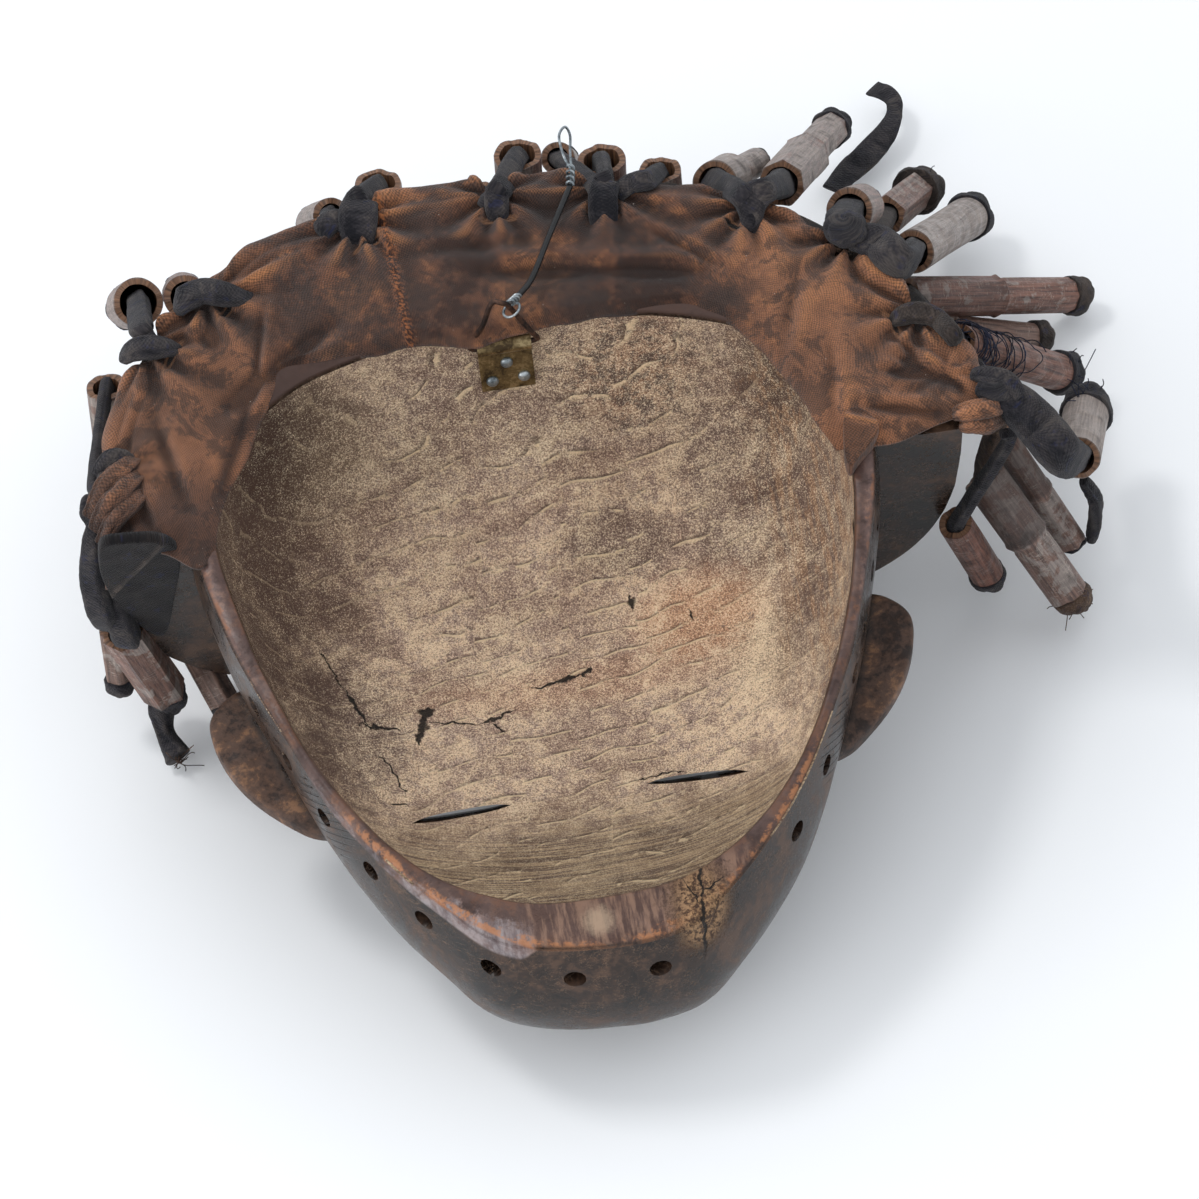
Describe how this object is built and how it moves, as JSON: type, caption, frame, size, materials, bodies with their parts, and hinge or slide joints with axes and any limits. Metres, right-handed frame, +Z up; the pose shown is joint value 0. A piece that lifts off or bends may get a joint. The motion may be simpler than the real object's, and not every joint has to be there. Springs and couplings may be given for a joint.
{
  "type": "chokwe mask",
  "caption": "Hollow carved wooden face mask lying on its face, with a cloth band round the back of the coiffure, hollow cane tubes tied on with rag strips, and a small wire hanger.",
  "frame": {"origin": "the flat spot on the nose tip, on which the lying mask rests", "axes": "+X to the right as the hollow is seen from the chin, +Y from the chin to the top of the coiffure, +Z up out of the open back"},
  "size_m": [0.313, 0.375, 0.1387],
  "materials": {
    "carved_wood": "dark brown, semi-gloss outside, dry and mottled tan in the hollow",
    "band_cloth": "rust-brown stained plain-weave cotton",
    "rag_cloth": "navy-black worn cotton",
    "cane": "weathered grey-brown cane, satin",
    "plate_brass": "dull olive brass",
    "nail_zinc": "dull zinc",
    "ring_iron": "rust-brown wire",
    "wire_coating": "black glossy coating"
  },
  "bodies": {
    "root": {"carved_mask": "carved_wood", "cloth_band": "band_cloth", "hanger_plate": "plate_brass", "top_nail": "nail_zinc", "left_nail": "nail_zinc", "right_nail": "nail_zinc", "hanger_ring": "ring_iron", "hanging_wire": "wire_coating", "upper_left_tube": "cane", "crown_left_tube": "cane", "side_left_tube": "cane", "low_left_tube": "cane", "cheek_left_tube": "cane", "inner_left_tube": "cane", "top_left_tube": "cane", "back_left_tube": "cane", "crown_tube": "cane", "crown_thin_tube": "cane", "back_middle_tube": "cane", "top_right_tube": "cane", "back_right_tube": "cane", "bark_tube": "cane", "wrapped_tube": "cane", "corner_tube": "cane", "grey_tube": "cane", "brown_tube": "cane", "long_tube": "cane", "floor_tube": "cane", "thread_tube": "cane", "pale_tube": "cane", "thin_tube": "cane", "jointed_tube": "cane", "red_tube": "cane", "upper_left_strip": "rag_cloth", "crown_left_strip": "rag_cloth", "side_left_strip": "rag_cloth", "low_left_strip": "rag_cloth", "inner_left_strip": "rag_cloth", "top_left_strip": "rag_cloth", "crown_strip": "rag_cloth", "top_right_strip": "rag_cloth", "back_right_strip": "rag_cloth", "bark_strip": "rag_cloth", "corner_strip": "rag_cloth", "brown_strip": "rag_cloth", "long_strip": "rag_cloth", "thread_strip": "rag_cloth", "pale_strip": "rag_cloth", "thin_strip": "rag_cloth", "jointed_strip": "rag_cloth", "red_strip": "rag_cloth", "loose_ribbon": "rag_cloth"}
  },
  "joints": []
}
